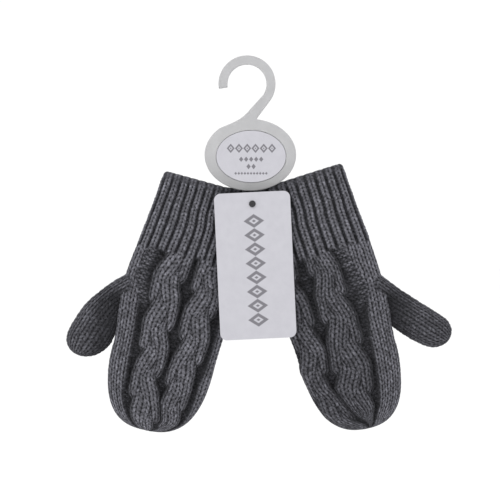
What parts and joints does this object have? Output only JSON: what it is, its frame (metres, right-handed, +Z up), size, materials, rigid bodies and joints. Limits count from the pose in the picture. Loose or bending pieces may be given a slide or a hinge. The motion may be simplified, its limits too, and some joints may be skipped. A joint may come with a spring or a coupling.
{
  "type": "knitted mittens",
  "caption": "Pair of toddler cable-knit mittens with ribbed cuffs, held by a pin to a small oval display hanger with an open hook, with a swing tag.",
  "frame": {"origin": "top of the hook's inner curve, where the hanger rests on a display peg", "axes": "+Z up, -Y the front with the cabled backs of the hands and the tag, +X to the right seen from the front"},
  "size_m": [0.2095, 0.0194, 0.2043],
  "materials": {
    "charcoal_knit": "heather wool-mix knit",
    "frosted_plastic": "frosted translucent moulding",
    "pale_card": "smooth coated card",
    "dark_nylon": "moulded nylon"
  },
  "bodies": {
    "hanger_body": {"hanger": "frosted_plastic", "size_label": "pale_card", "tag_pin": "dark_nylon"},
    "tag": {"swing_tag": "pale_card"},
    "left_mitten": {"left_cuff": "charcoal_knit", "left_back_panel": "charcoal_knit", "left_palm_panel": "charcoal_knit"},
    "left_thumb_part": {"left_thumb": "charcoal_knit"},
    "right_mitten": {"right_cuff": "charcoal_knit", "right_back_panel": "charcoal_knit", "right_palm_panel": "charcoal_knit"},
    "right_thumb_part": {"right_thumb": "charcoal_knit"}
  },
  "joints": [
    {"name": "tag_swing", "type": "hinge", "parent": "hanger_body", "child": "tag", "pos_m": [0.00286, 0, -0.0753], "axis": [0, 1, 0], "range_deg": [-30, 30]},
    {"name": "left_mitten_swing", "type": "hinge", "parent": "hanger_body", "child": "left_mitten", "pos_m": [0.00286, 0, -0.0753], "axis": [0, 1, 0], "range_deg": [-1.5, 18]},
    {"name": "right_mitten_swing", "type": "hinge", "parent": "hanger_body", "child": "right_mitten", "pos_m": [0.00286, 0, -0.0753], "axis": [0, -1, 0], "range_deg": [-1.5, 18]},
    {"name": "left_thumb_fold", "type": "hinge", "parent": "left_mitten", "child": "left_thumb_part", "pos_m": [-0.06537, 0.0087, -0.12275], "axis": [-0.1977, 0, -0.9803], "range_deg": [-15, 50]},
    {"name": "right_thumb_fold", "type": "hinge", "parent": "right_mitten", "child": "right_thumb_part", "pos_m": [0.07269, 0.0087, -0.12478], "axis": [-0.1925, 0, 0.9813], "range_deg": [-15, 50]}
  ]
}
